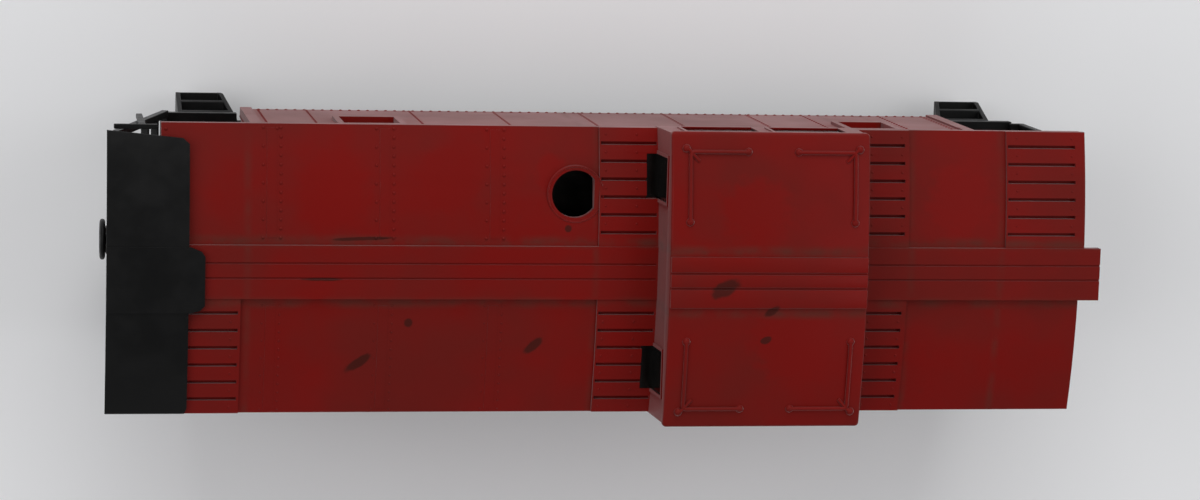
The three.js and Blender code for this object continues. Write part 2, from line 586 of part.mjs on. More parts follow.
function knuckle() {
  const z = [COUPLER_Z - 0.8, COUPLER_Z + 0.8];
  const at = [KNUCKLE_PIN.x, KNUCKLE_PIN.y];
  const eye = bar('z', at, z, 1.0, 20);
  const arm = prism('z', [
    [64.0, 1.1], [64.4, 0.2], [64.3, -0.9], [65.1, -1.3], [65.9, -0.8], [66.0, 1.2], [65.2, 2.6], [64.0, 2.9],
  ], z);
  return eye.add(arm).subtract(bar('z', at, [5, 15], KNUCKLE_PIN.radius + 0.2, 14));
}

function couplerLid() {
  return box([50.2, PLATFORM_END], [-4.1, 4.1], [8.2, 9.2 - GAP])
    .subtract(bar('z', [COUPLER_PIVOT_X, 0], [5, 15], 0.75, 16));
}

// ---------------------------------------------------------------- screws and fittings
function ballastWeight() {
  return box([-40, 40], [-12, 12], [FLOOR_TOP + 0.8, FLOOR_TOP + 4]);
}

function screw([x, y], headZ, tipZ, headRadius, shankRadius) {
  const head = bar('z', [x, y], [headZ, headZ + 0.8], headRadius, 20);
  const shank = bar('z', [x, y], [headZ + 0.5, tipZ], shankRadius, 14);
  const slot = box([x - headRadius, x + headRadius], [y - 0.2, y + 0.2], [headZ - 1, headZ + 0.35]);
  return join([head, shank]).subtract(slot);
}

function airTank() {
  const tank = bar('x', [-8.2, 8.5], [-9, 9], 2.1, 24);
  const straps = [-5.5, 5.5].map((x) => box([x - 0.6, x + 0.6], [-9.2, -7.2], [9.5, FLOOR_BOTTOM - GAP]));
  return join([tank, ...straps]);
}

function brakeCylinder() {
  const body = bar('x', [7.6, 8.9], [-12, -6], 2.3, 24);
  const nose = bar('x', [7.6, 8.9], [-6.2, -3.4], 1.2, 18, 0.7);
  const bracket = box([-10.4, -7.6], [6.8, 8.4], [9.8, FLOOR_BOTTOM - GAP]);
  return join([body, nose, bracket]);
}

function batteryBox() {
  return box([3, 13], [7, 13.2], [7.2, 10.5]).add(box([4, 12], [8, 12], [10.4, FLOOR_BOTTOM - GAP]));
}

// ---------------------------------------------------------------- assembly
const caboose = new THREE.Group();

caboose.add(mesh('body_shell', bodyShell(), redPlastic));
caboose.add(mesh('cupola_roof', cupolaRoof(), redPlastic));
caboose.add(mesh('cupola_glazing', cupolaGlazing(), darkPlastic));
caboose.add(mesh('underframe', underframe(), blackPlastic));
caboose.add(mesh('ballast_weight', ballastWeight(), steel));
caboose.add(mesh('end_frame_b', endFrameB(), blackPlastic));
caboose.add(mesh('canopy_bracket_b_left', canopyBracket(1), blackPlastic));
caboose.add(mesh('canopy_bracket_b_right', canopyBracket(-1), blackPlastic));
caboose.add(mesh('canopy_b', canopyB(), blackPlastic));
caboose.add(mesh('brake_wheel', brakeWheel(), blackPlastic));
caboose.add(mesh('end_railing_a', endRailingA(), blackPlastic));
caboose.add(mesh('end_ladder_a', endLadderA(), blackPlastic));
caboose.add(mesh('air_tank', airTank(), blackPlastic));
caboose.add(mesh('brake_cylinder', brakeCylinder(), blackPlastic));
caboose.add(mesh('battery_box', batteryBox(), blackPlastic));

for (const [end, endName] of [[-1, 'b'], [1, 'a']]) {
  for (const [side, sideName] of [[1, 'left'], [-1, 'right']]) {
    caboose.add(mesh(`steps_${endName}_${sideName}`, steps(side, end), blackPlastic));
  }
}

for (const [end, endName] of [[-1, 'b'], [1, 'a']]) {
  const centre = end * TRUCK_X;
  caboose.add(mesh(`truck_frame_${endName}`, truckFrame().translate([centre, 0, 0]), blackPlastic));
  caboose.add(mesh(`truck_screw_${endName}`, screw([centre, 0], 4.4, 11.6, 1.9, 0.75), steel));
  for (const [place, number] of [[-1, 1], [1, 2]]) {
    const x = centre + place * HALF_WHEELBASE;
    const left = wheel().translate([0, WHEEL_BACK, 0]);
    const right = halfTurn(left);
    caboose.add(mesh(`axle_${endName}${number}`, axle().translate([x, 0, FLANGE_RADIUS]), steel));
    caboose.add(mesh(`wheel_${endName}${number}_left`, left.translate([x, 0, FLANGE_RADIUS]), wheelMetal));
    caboose.add(mesh(`wheel_${endName}${number}_right`, right.translate([x, 0, FLANGE_RADIUS]), wheelMetal));
  }
  const place = (piece) => (end > 0 ? piece : halfTurn(piece));
  caboose.add(mesh(`coupler_${endName}`, place(coupler()), steel));
  caboose.add(mesh(`knuckle_${endName}`, place(knuckle()), steel));
  caboose.add(mesh(`coupler_lid_${endName}`, place(couplerLid()), blackPlastic));
}

export default caboose;
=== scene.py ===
"""Looks for an HO scale wide-cupola caboose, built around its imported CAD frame.

Every piece is in metres in the frame's own axes: +X along the car to its A end, +Z up, wheels on z = 0.
"""

import math

import bmesh
import bpy
from mathutils import Matrix, Vector


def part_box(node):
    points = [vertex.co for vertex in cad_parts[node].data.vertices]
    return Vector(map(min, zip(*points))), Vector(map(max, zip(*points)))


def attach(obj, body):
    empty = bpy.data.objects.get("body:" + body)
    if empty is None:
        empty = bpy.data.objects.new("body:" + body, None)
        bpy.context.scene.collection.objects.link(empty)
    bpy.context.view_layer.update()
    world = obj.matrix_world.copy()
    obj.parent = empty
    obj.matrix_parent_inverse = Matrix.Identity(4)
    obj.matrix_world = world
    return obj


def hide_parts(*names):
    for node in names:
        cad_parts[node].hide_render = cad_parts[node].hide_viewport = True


bl_info = {
    "name": "Model caboose",
    "version": (1, 0, 0),
    "blender": (4, 5, 0),
    "location": "3D View > Sidebar > Caboose",
    "description": "Adds the detailed pieces of a model railway caboose around its frame",
    "category": "Add Mesh",
}

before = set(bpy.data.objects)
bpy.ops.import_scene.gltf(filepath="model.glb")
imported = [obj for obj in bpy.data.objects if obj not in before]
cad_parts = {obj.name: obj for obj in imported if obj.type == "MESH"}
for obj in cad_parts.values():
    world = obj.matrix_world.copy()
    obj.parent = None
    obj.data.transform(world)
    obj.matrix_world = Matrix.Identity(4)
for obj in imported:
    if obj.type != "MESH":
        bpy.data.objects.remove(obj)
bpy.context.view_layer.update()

MM = 0.001

# ---------------------------------------------------------------- places read from the frame
CUPOLA_LOW, CUPOLA_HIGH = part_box("cupola_roof")
BRAKE_LOW, BRAKE_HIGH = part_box("brake_wheel")

ROOF_HALF_WIDTH = 18.4 * MM
EAVE_Z = 40.0 * MM
ROOF_CROWN = 2.4 * MM
WALL_Y = 17.3 * MM
WALL_X = 47.9 * MM
SILL_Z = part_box("body_shell")[0].z
WALK_HALF_WIDTH = 3.4 * MM
CUPOLA_EDGE_Z = 48.6 * MM
COLLAR_TOP = 41.95 * MM
CUPOLA_CROWN = 1.9 * MM
WALL_LEAN = 0.5 / 7.5
CUPOLA_ENDS = ((3.2 * MM, -1), (29.4 * MM, 1))
CUPOLA_SIDE_Y = 18.55 * MM
END_WINDOW_Y = (9.5 * MM, 15.2 * MM)
END_WINDOW_Z = (41.2 * MM, 46.5 * MM)
SIDE_WINDOWS_X = ((6.0 * MM, 15.2 * MM), (17.4 * MM, 26.6 * MM))
SIDE_WINDOW_Z = (41.6 * MM, 46.3 * MM)
SMOKEJACK_X, SMOKEJACK_Y = -7.35, 10.0
COLLAR_RADIUS = 3.56
TRUCK_X = {"a": 33.5, "b": -33.5}
ROOF_SEAMS = [-44.7 * MM, -30.5 * MM, -16.5 * MM]


def roof_height(y):
    """Top of the roof sheet at a distance y from the centre line."""
    return EAVE_Z + ROOF_CROWN * (1 - (y / ROOF_HALF_WIDTH) ** 2)


def cupola_height(y):
    """Top of the cupola roof at a distance y from the centre line."""
    return CUPOLA_EDGE_Z + CUPOLA_CROWN * (1 - (y / CUPOLA_HIGH.y) ** 2)


# ---------------------------------------------------------------- colour and node helpers
def linear(colour):
    """A #rrggbb colour as linear RGBA."""
    channels = [int(colour[i:i + 2], 16) / 255 for i in (1, 3, 5)]
    return [c / 12.92 if c <= 0.04045 else ((c + 0.055) / 1.055) ** 2.4 for c in channels] + [1.0]


def add(tree, kind, inputs, output=0, **settings):
    """Adds one node with its settings; a socket given for an input is linked, another value is set."""
    made = tree.nodes.new(kind)
    for name, value in settings.items():
        setattr(made, name, value)
    for key, value in inputs.items():
        if isinstance(value, bpy.types.NodeSocket):
            tree.links.new(value, made.inputs[key])
        else:
            made.inputs[key].default_value = value
    return made.outputs[output] if made.outputs else None


def new_material(name):
    """An empty material, its node tree and its Object coordinates."""
    material = bpy.data.materials.new(name)
    material.use_nodes = True
    tree = material.node_tree
    tree.nodes.clear()
    return material, tree, add(tree, "ShaderNodeTexCoord", {}, "Object")


def give_surface(tree, looks):
    """Ends the material with a Principled surface that has these inputs."""
    shader = add(tree, "ShaderNodeBsdfPrincipled", looks)
    add(tree, "ShaderNodeOutputMaterial", {"Surface": shader})


def patches(tree, place, size_mm, low, high, detail=3.0, roughness=0.55):
    """Cloudy patches about size_mm across: 0 where the noise is at or below low, 1 at or above high."""
    cloud = add(tree, "ShaderNodeTexNoise", {
        "Vector": place, "Scale": 1 / (size_mm * MM), "Detail": detail, "Roughness": roughness})
    return add(tree, "ShaderNodeMapRange", {"Value": cloud, "From Min": low, "From Max": high},
               interpolation_type="SMOOTHSTEP")


def over(tree, amount, share, under, coat):
    """The under colour with a share of the coat's colour where amount is 1."""
    cover = add(tree, "ShaderNodeMath", {0: amount, 1: share}, operation="MULTIPLY", use_clamp=True)
    return add(tree, "ShaderNodeMix", {0: cover, 6: under, 7: coat}, 2, data_type="RGBA")


def moulded_grain(tree, place, size_mm, depth_mm, detail=3.0):
    """The faint unevenness of a moulded or cast skin, drawn coarser than the real one so that it shows."""
    cloud = add(tree, "ShaderNodeTexNoise", {
        "Vector": place, "Scale": 1 / (size_mm * MM), "Detail": detail, "Roughness": 0.55})
    return add(tree, "ShaderNodeBump", {"Height": cloud, "Distance": depth_mm * MM, "Strength": 0.5})


def blot(tree, place, centre, size, turn=0.0, rag=0.35):
    """1 inside an elliptical patch seen from above, 0 outside, with a ragged edge. Millimetres."""
    moved = add(tree, "ShaderNodeMapping", {
        "Vector": place,
        "Location": (centre[0] * MM, centre[1] * MM, 0),
        "Rotation": (0, 0, math.radians(turn)),
        "Scale": (size[0] * MM, size[1] * MM, 1),
    }, vector_type="TEXTURE")
    flat = add(tree, "ShaderNodeVectorMath", {0: moved, 1: (1, 1, 0)}, operation="MULTIPLY")
    far = add(tree, "ShaderNodeVectorMath", {0: flat}, "Value", operation="LENGTH")
    ragged = add(tree, "ShaderNodeTexNoise", {
        "Vector": place, "Scale": 1 / (1.3 * MM), "Detail": 4, "Roughness": 0.55})
    ragged = add(tree, "ShaderNodeMath", {0: ragged, 1: rag * 2}, operation="MULTIPLY", use_clamp=True)
    edge = add(tree, "ShaderNodeMath", {0: far, 1: ragged}, operation="ADD")
    return add(tree, "ShaderNodeMapRange", {
        "Value": edge, "From Min": 1.0 + rag, "From Max": 0.75 + rag * 0.6}, interpolation_type="SMOOTHSTEP")


def band(tree, coordinate, centre_mm, reach_mm):
    """1 where the coordinate is at centre, fading to 0 at reach on each side."""
    away = add(tree, "ShaderNodeMath", {0: coordinate, 1: centre_mm * MM}, operation="SUBTRACT")
    away = add(tree, "ShaderNodeMath", {0: away}, operation="ABSOLUTE")
    return add(tree, "ShaderNodeMapRange", {"Value": away, "From Min": reach_mm * MM, "From Max": 0.0},
               interpolation_type="SMOOTHSTEP")


def either(tree, masks):
    """The greatest of several masks."""
    whole = masks[0]
    for mask in masks[1:]:
        whole = add(tree, "ShaderNodeMath", {0: whole, 1: mask}, operation="MAXIMUM", use_clamp=True)
    return whole


# ---------------------------------------------------------------- materials
# centre and half size of each patch that handling has rubbed clean, in millimetres
GLOSSY_PATCHES = [
    ((-38.0, 10.0), (5.5, 6.5)), ((-23.5, 11.5), (5.0, 5.0)), ((-10.5, 12.5), (2.5, 3.0)),
    ((43.5, 9.5), (5.5, 5.5)), ((14.5, 9.0), (6.0, 5.0)), ((20.0, -8.0), (7.0, 6.0)),
]
# centre, half size and turn in degrees of each brown smudge
SMUDGES = [
    ((-34.6, -11.8), (2.3, 0.75), 34), ((-12.3, -9.6), (1.7, 0.7), 40), ((-28.4, -6.6), (0.7, 0.7), 0),
    ((10.6, -0.7), (2.4, 1.15), 28), ((16.8, -3.6), (1.3, 0.6), 35), ((16.2, -7.4), (0.9, 0.55), 20),
    ((-34.5, 4.2), (4.6, 0.28), 2), ((-39.5, -0.9), (3.0, 0.22), 0), ((-8.2, 5.6), (0.55, 0.55), 0),
]
DUSTY_EDGES = (-4.6, 36.8, 48.8, -48.8, 31.0)


def red_styrene():
    """Polystyrene, injection moulded in red: satin, with a dry dust film that handling has rubbed off in
    glossier patches, and brown smudges. The film's sheen lightens the edges and the sides seen aslant."""
    material, tree, place = new_material("moulded_red_styrene")
    along, across = (add(tree, "ShaderNodeSeparateXYZ", {"Vector": place}, axis) for axis in "XY")

    # dust that settles along the raised boards and at the panel edges
    across = add(tree, "ShaderNodeMath", {0: across}, operation="ABSOLUTE")
    faint_edges = [add(tree, "ShaderNodeMath", {0: band(tree, along, edge, 0.8), 1: 0.55},
                       operation="MULTIPLY", use_clamp=True) for edge in DUSTY_EDGES]
    settled = add(tree, "ShaderNodeMath", {
        0: either(tree, [band(tree, across, 3.9, 1.1), *faint_edges]),
        1: patches(tree, place, 3.5, 0.3, 0.7, 4)}, operation="MULTIPLY", use_clamp=True)

    # the thin film over all of it, and where it is rubbed clean
    streaks = add(tree, "ShaderNodeMath", {0: patches(tree, place, 2.2, 0.42, 0.75, 5, 0.7), 1: 0.35},
                  operation="MULTIPLY", use_clamp=True)
    film = either(tree, [patches(tree, place, 16, 0.3, 0.72, 3, 0.6), streaks])
    clean = either(tree, [blot(tree, place, centre, size, rag=0.5) for centre, size in GLOSSY_PATCHES])
    clean = add(tree, "ShaderNodeMath", {0: clean, 1: 0.8}, operation="MULTIPLY", use_clamp=True)
    kept = add(tree, "ShaderNodeMath", {0: 1.0, 1: clean}, operation="SUBTRACT")
    film = add(tree, "ShaderNodeMath", {0: film, 1: kept}, operation="MULTIPLY", use_clamp=True)
    brown = either(tree, [blot(tree, place, *smudge) for smudge in SMUDGES])

    red = over(tree, patches(tree, place, 28, 0.3, 0.7, 2), 1.0, linear("#7a0a05"), linear("#740b06"))
    red = over(tree, film, 0.9, red, linear("#66140e"))
    red = over(tree, settled, 0.8, red, linear("#582820"))
    red = over(tree, brown, 0.85, red, linear("#3b120b"))

    dull = add(tree, "ShaderNodeMath", {0: either(tree, [brown, settled]), 1: 0.2},
               operation="MULTIPLY", use_clamp=True)
    gloss = add(tree, "ShaderNodeMapRange", {"Value": film, "To Min": 0.4, "To Max": 0.6})
    give_surface(tree, {
        "Base Color": red,
        "Roughness": add(tree, "ShaderNodeMath", {0: gloss, 1: dull}, operation="ADD"),
        "Specular IOR Level": 0.12,
        "Sheen Weight": 0.28,
        "Sheen Roughness": 0.35,
        "Normal": moulded_grain(tree, place, 0.35, 0.012),
    })
    return material


def black_styrene():
    """Polystyrene, moulded in black: satin with a faint grey bloom of dust."""
    material, tree, place = new_material("moulded_black_styrene")
    bloom = patches(tree, place, 7, 0.35, 0.8, 4, 0.65)
    black = over(tree, bloom, 0.6, linear("#040404"), linear("#0b0a0a"))
    black = over(tree, patches(tree, place, 0.9, 0.72, 0.8, 2), 0.35, black, linear("#242220"))
    give_surface(tree, {
        "Base Color": black,
        "Roughness": add(tree, "ShaderNodeMapRange", {"Value": bloom, "To Min": 0.38, "To Max": 0.58}),
        "Specular IOR Level": 0.22,
        "Normal": moulded_grain(tree, place, 0.4, 0.012),
    })
    return material


def painted_shade_glazing():
    """Polystyrene window sheet coloured nearly black: painted shade for the dark interior behind the
    windows. Its low roughness gives the windows a real hard shine.
    """
    material, tree, place = new_material("glazing_sheet_painted_shade")
    haze = patches(tree, place, 5, 0.3, 0.8)
    give_surface(tree, {
        "Base Color": over(tree, haze, 1.0, linear("#070504"), linear("#0d0a08")),
        "Roughness": add(tree, "ShaderNodeMapRange", {"Value": haze, "To Min": 0.12, "To Max": 0.24}),
        "Specular IOR Level": 0.3,
    })
    return material


def dark_metal(name, low, high, rough, mottle_mm=0.8):
    """A metal surface with fine uneven tone; the callers say which metal it is."""
    material, tree, place = new_material(name)
    mottled = patches(tree, place, mottle_mm, 0.3, 0.75, 4, 0.6)
    give_surface(tree, {
        "Base Color": over(tree, mottled, 1.0, linear(low), linear(high)),
        "Metallic": 1.0,
        "Roughness": add(tree, "ShaderNodeMapRange", {
            "Value": mottled, "To Min": rough - 0.08, "To Max": rough + 0.12}),
        "Normal": moulded_grain(tree, place, 0.25, 0.008, 2),
    })
    return material


MATERIALS = {}


def materials():
    """Makes each material once."""
    if not MATERIALS:
        MATERIALS.update({
            "red": red_styrene(),
            "black": black_styrene(),
            # nearly black window sheets: painted shade for the dark car interior, with a real glassy shine
            "glazing": painted_shade_glazing(),
            # nickel-brass wheels, chemically blackened: dark brown-grey with a soft metal shine
            "wheel": dark_metal("blackened_nickel_brass", "#2a2623", "#3b3632", 0.42),
            # the same brass polished by the rail: pale, brighter and smoother
            "tread": dark_metal("rail_polished_brass", "#8d8578", "#a89f8f", 0.24),
            "steel": dark_metal("rolled_mild_steel", "#6d6b67", "#86837e", 0.36, 2.5),
            "screw": dark_metal("zinc_plated_steel", "#8f8d88", "#a9a6a0", 0.28),
            "coupler": dark_metal("blackened_zinc_casting", "#1d1b1a", "#2c2927", 0.5),
        })
    return MATERIALS


# ---------------------------------------------------------------- mesh helpers
def piece_from(bm, name, finish, smooth_angle=35):
    """A finished object at the origin from a bmesh."""
    mesh = bpy.data.meshes.new(name)
    bm.normal_update()
    bm.to_mesh(mesh)
    bm.free()
    mesh.shade_smooth()
    mesh.set_sharp_from_angle(angle=math.radians(smooth_angle))
    made = bpy.data.objects.new(name, mesh)
    bpy.context.scene.collection.objects.link(made)
    for key in (finish if isinstance(finish, (list, tuple)) else [finish]):
        mesh.materials.append(materials()[key])
    return made


def rounded_copy(node, name, finish, width_mm=0.12, segments=2, angle=32):
    """The node's own form with its moulded edges rounded."""
    bm = bmesh.new()
    bm.from_mesh(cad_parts[node].data)
    bmesh.ops.remove_doubles(bm, verts=bm.verts, dist=0.002 * MM)
    made = piece_from(bm, name, finish, angle)
    edge = made.modifiers.new("edge_rounding", "BEVEL")
    edge.width = width_mm * MM
    edge.segments = segments
    edge.limit_method = "ANGLE"
    edge.angle_limit = math.radians(angle)
    edge.miter_outer = "MITER_ARC"
    edge.use_clamp_overlap = True
    even = made.modifiers.new("even_shading", "WEIGHTED_NORMAL")
    even.keep_sharp = False
    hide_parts(node)
    return made


def slab(bm, low, high):
    """A box between two corners, added to the bmesh; returns its vertices."""
    low, high = Vector(low), Vector(high)
    made = bmesh.ops.create_cube(bm, size=1, matrix=(
        Matrix.Translation((low + high) / 2) @ Matrix.Diagonal((*(high - low), 1))
    ))
    return made["verts"]


def edges_of(verts):
    """Every edge that meets these vertices."""
    return list({edge for vert in verts for edge in vert.link_edges})


def soften(bm, verts, width_mm, segments=2):
    """Rounds every edge between these vertices' faces that turns more than 30 degrees."""
    sharp = [e for e in edges_of(verts) if len(e.link_faces) == 2 and e.calc_face_angle(0) > 0.5]
    bmesh.ops.bevel(bm, geom=sharp, offset=width_mm * MM, segments=segments, affect="EDGES",
                    profile=0.5, material=-1, clamp_overlap=True)


def round_bar(name, points, radius_mm, resolution=3, cyclic=False):
    """A round bar along a list of points, in metres, with its bends rounded off."""
    curve = bpy.data.curves.new(name, "CURVE")
    curve.dimensions = "3D"
    curve.bevel_depth = radius_mm * MM
    curve.bevel_resolution = resolution
    curve.use_fill_caps = True
    line = curve.splines.new("POLY")
    line.points.add(len(points) - 1)
    for target, point in zip(line.points, points):
        target.co = (*point, 1)
    line.use_cyclic_u = cyclic
    holder = bpy.data.objects.new(name, curve)
    mesh = bpy.data.meshes.new_from_object(holder)
    bpy.data.objects.remove(holder)
    bm = bmesh.new()
    bm.from_mesh(mesh)
    bpy.data.meshes.remove(mesh)
    bmesh.ops.remove_doubles(bm, verts=bm.verts, dist=0.005 * MM)
    return bm


def filleted(points, radius_mm, steps=5):
    """The points of a bent line with each inner corner replaced by a short arc."""
    points = [Vector(p) for p in points]
    line = [points[0]]
    for before, corner, after in zip(points, points[1:], points[2:]):
        back = (before - corner).normalized() * radius_mm * MM
        ahead = (after - corner).normalized() * radius_mm * MM
        for i in range(steps + 1):
            t = i / steps
            line.append(corner + back * (1 - t) ** 2 + ahead * t ** 2)
    line.append(points[-1])
    return line


def merge_into(target, source):
    """Adds one bmesh's geometry to another."""
    mesh = bpy.data.meshes.new("part")
    source.to_mesh(mesh)
    source.free()
    target.from_mesh(mesh)
    bpy.data.meshes.remove(mesh)


def stud(bm, place, radius_mm, lean=(0, 0, 1), rise=0.6):
    """A low domed rivet head at a place, standing along `lean`."""
    turn = Vector(lean).to_track_quat("Z", "Y").to_matrix().to_4x4()
    size = radius_mm * MM
    bmesh.ops.create_uvsphere(bm, u_segments=8, v_segments=4, radius=1, matrix=(
        Matrix.Translation(place) @ turn @ Matrix.Diagonal((size, size, size * rise, 1))
    ))


def turned(bm, profile, centre, axis, segments=56):
    """Spins (radius, along) pairs, in millimetres, a full turn about an axis through centre."""
    axis = Vector(axis)
    out = axis.orthogonal().normalized()
    verts = [bm.verts.new(Vector(centre) + (out * radius + axis * along) * MM) for radius, along in profile]
    edges = [bm.edges.new(pair) for pair in zip(verts, verts[1:])]
    if profile[0][0] > 0:
        edges.append(bm.edges.new((verts[-1], verts[0])))
    spun = bmesh.ops.spin(bm, geom=verts + edges, cent=centre, axis=axis, angle=2 * math.pi,
                          steps=segments, use_merge=True)
    return spun


def close_up(bm):
    """Merges poles and seams, then points every face outwards."""
    bmesh.ops.remove_doubles(bm, verts=bm.verts, dist=0.001 * MM)
    bmesh.ops.recalc_face_normals(bm, faces=bm.faces)


def roof_strip(bm, xs, ys, rise_mm):
    """A thin strip moulded on the roof sheet, following its camber."""
    bottom, top = EAVE_Z - 0.3 * MM, EAVE_Z
    verts = slab(bm, (xs[0], ys[0], bottom), (xs[1], ys[1], top))
    faces = list({face for vert in verts for face in vert.link_faces})
    edges = edges_of(verts)
    geom = verts + edges + faces
    for i in range(1, 8):
        y = ys[0] + (ys[1] - ys[0]) * i / 8
        cut = bmesh.ops.bisect_plane(bm, geom=geom, dist=0.001 * MM, plane_co=(0, y, 0), plane_no=(0, 1, 0))
        geom = list({g for g in cut["geom"]} | {g for g in cut["geom_cut"]})
    for vert in (g for g in geom if isinstance(g, bmesh.types.BMVert)):
        lift = rise_mm * MM if vert.co.z > (bottom + top) / 2 else -0.3 * MM
        vert.co.z = roof_height(vert.co.y) + lift


def window_lip(bm, span_a, span_b, place):
    """Four bars around an opening; place turns (a, b, outwards) in metres into a point."""
    (a0, a1), (b0, b1) = span_a, span_b
    lip = 0.38 * MM
    for (c0, c1), (d0, d1) in (
        ((a0 - lip, a1 + lip), (b1, b1 + lip)), ((a0 - lip, a1 + lip), (b0 - lip, b0)),
        ((a0 - lip, a0), (b0, b1)), ((a1, a1 + lip), (b0, b1)),
    ):
        verts = slab(bm, (c0, d0, -0.1 * MM), (c1, d1, 0.16 * MM))
        for vert in verts:
            vert.co = place(*vert.co)


def ride_car(piece):
    """Fixes a piece to the car's own body."""
    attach(piece, "car")
    return piece


def link(piece, body):
    """Fixes a piece to one of the moving bodies."""
    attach(piece, body)
    return piece


# ---------------------------------------------------------------- settings a user would change
class CabooseSettings(bpy.types.PropertyGroup):
    """Sizes of the finer details."""
    edge_round: bpy.props.FloatProperty(
        name="Moulded edge", description="Radius of the moulded edges on the body",
        default=0.00011, min=0.00002, max=0.0004, subtype="DISTANCE", unit="LENGTH")
    rivet_radius: bpy.props.FloatProperty(
        name="Rivet radius", description="Radius of a moulded rivet head",
        default=0.0002, min=0.00005, max=0.0006, subtype="DISTANCE", unit="LENGTH")
    seam_pitch: bpy.props.FloatProperty(
        name="Rivet pitch", description="Distance between rivets along a roof seam",
        default=0.0011, min=0.0005, max=0.004, subtype="DISTANCE", unit="LENGTH")
    floor_colour: bpy.props.FloatVectorProperty(
        name="Floor", description="Colour of the studio floor", subtype="COLOR",
        size=4, min=0, max=1, default=linear("#f6f6f7"))


def settings():
    return bpy.context.scene.caboose


# ---------------------------------------------------------------- body
class CABOOSE_OT_body(bpy.types.Operator):
    """Body shell with rounded moulded edges"""
    bl_idname = "caboose.body"
    bl_label = "Body shell"

    def execute(self, context):
        shell = rounded_copy("body_shell", "body_moulding", "red", settings().edge_round / MM)
        ride_car(shell)
        return {"FINISHED"}


class CABOOSE_OT_roof_rivets(bpy.types.Operator):
    """Seam strips and rivet rows moulded on the roof sheet"""
    bl_idname = "caboose.roof_rivets"
    bl_label = "Roof rivets"

    def execute(self, context):
        radius = settings().rivet_radius / MM
        pitch = settings().seam_pitch
        bm = bmesh.new()
        inner = WALK_HALF_WIDTH + 0.9 * MM
        outer = ROOF_HALF_WIDTH - 0.5 * MM
        for seam in ROOF_SEAMS:
            for side in (1, -1):
                ys = sorted((side * inner, side * outer))
                roof_strip(bm, (seam - 1.75 * MM, seam - 0.5 * MM), ys, 0.05 if side > 0 else 0.035)
                heavy = side > 0  # the rivets are fainter on the other side of the mould
                count = int((outer - inner) / pitch)
                for i in range(count + 1):
                    y = inner + (outer - inner) * i / count
                    slope = Vector((0, 2 * ROOF_CROWN * side * y / ROOF_HALF_WIDTH ** 2, 1)).normalized()
                    here = Vector((seam, side * y, roof_height(y)))
                    stud(bm, here, radius * (1.15 if heavy else 0.8), slope)
                    if i % 2 == 0:
                        stud(bm, here - Vector((2.2 * MM, 0, 0)), radius * (1.1 if heavy else 0.7), slope)
        ride_car(piece_from(bm, "roof_rivets", "red", 60))
        return {"FINISHED"}


class CABOOSE_OT_board_bolts(bpy.types.Operator):
    """Bolt heads at the ends of the lateral boards"""
    bl_idname = "caboose.board_bolts"
    bl_label = "Board bolts"

    def execute(self, context):
        bm = bmesh.new()
        rise = 0.45 * MM
        places = []
        for i in range(6):
            y = (5.2 + 2.25 * i + 1.1) * MM
            for x in (-3.5, 0.5, 31.4, 35.4):
                places.append((x * MM, y))
                places.append((x * MM, -y))
            places.append((50.8 * MM, y))
            places.append((58.2 * MM, y))
            places.append((-50.8 * MM, -y))
            places.append((-58.2 * MM, -y))
        for x, y in places:
            if abs(y) < ROOF_HALF_WIDTH - 0.6 * MM:
                stud(bm, Vector((x, y, roof_height(y) + rise)), 0.17, rise=0.5)
        for x, y in ((-59.0, 17.6), (-59.0, 16.6), (-45.2, 17.8), (52.0, 17.8)):
            stud(bm, Vector((x * MM, y * MM, roof_height(y * MM) + 0.02 * MM)), 0.24, rise=0.6)
        ride_car(piece_from(bm, "board_bolts", "red", 60))
        return {"FINISHED"}


class CABOOSE_OT_side_rivets(bpy.types.Operator):
    """Rivet rows on the sides and ends of the body"""
    bl_idname = "caboose.side_rivets"
    bl_label = "Side rivets"

    def execute(self, context):
        bm = bmesh.new()
        low, high = SILL_Z + 0.8 * MM, EAVE_Z - 1.9 * MM
        pitch = 1.2 * MM
        for side in (1, -1):
            for x_mm in (-45.6, -39.2, -25.4, -14.0, -2.4, 9.2, 20.8, 28.6, 39.4, 45.6):
                x = side * x_mm * MM
                count = int((high - low) / pitch)
                for i in range(count + 1):
                    z = low + (high - low) * i / count
                    stud(bm, Vector((x, side * WALL_Y, z)), 0.19, (0, side, 0))
            count = int(2 * WALL_X / pitch)
            for i in range(1, count):
                x = -WALL_X + 2 * WALL_X * i / count
                stud(bm, Vector((x, side * WALL_Y, SILL_Z + 0.7 * MM)), 0.24, (0, side, 0))
        for end in (1, -1):
            for y_mm in (-16.4, -9.5, 9.5, 16.4):
                for i in range(15):
                    z = low + (high - low) * i / 14
                    stud(bm, Vector((end * WALL_X, y_mm * MM, z)), 0.17, (end, 0, 0))
        ride_car(piece_from(bm, "side_rivets", "red", 60))
        return {"FINISHED"}


class CABOOSE_OT_smokejack_collar(bpy.types.Operator):
    """Raised ring around the smokejack hole"""
    bl_idname = "caboose.smokejack_collar"
    bl_label = "Smokejack collar"

    def execute(self, context):
        line = []
        for i in range(48):
            x = (SMOKEJACK_X + COLLAR_RADIUS * math.cos(math.pi * i / 24)) * MM
            y = (SMOKEJACK_Y + COLLAR_RADIUS * math.sin(math.pi * i / 24)) * MM
            line.append(Vector((x, y, max(roof_height(y), COLLAR_TOP))))
        bm = round_bar("ring", line, 0.1, 2, cyclic=True)
        ride_car(piece_from(bm, "smokejack_collar", "red", 60))
        return {"FINISHED"}


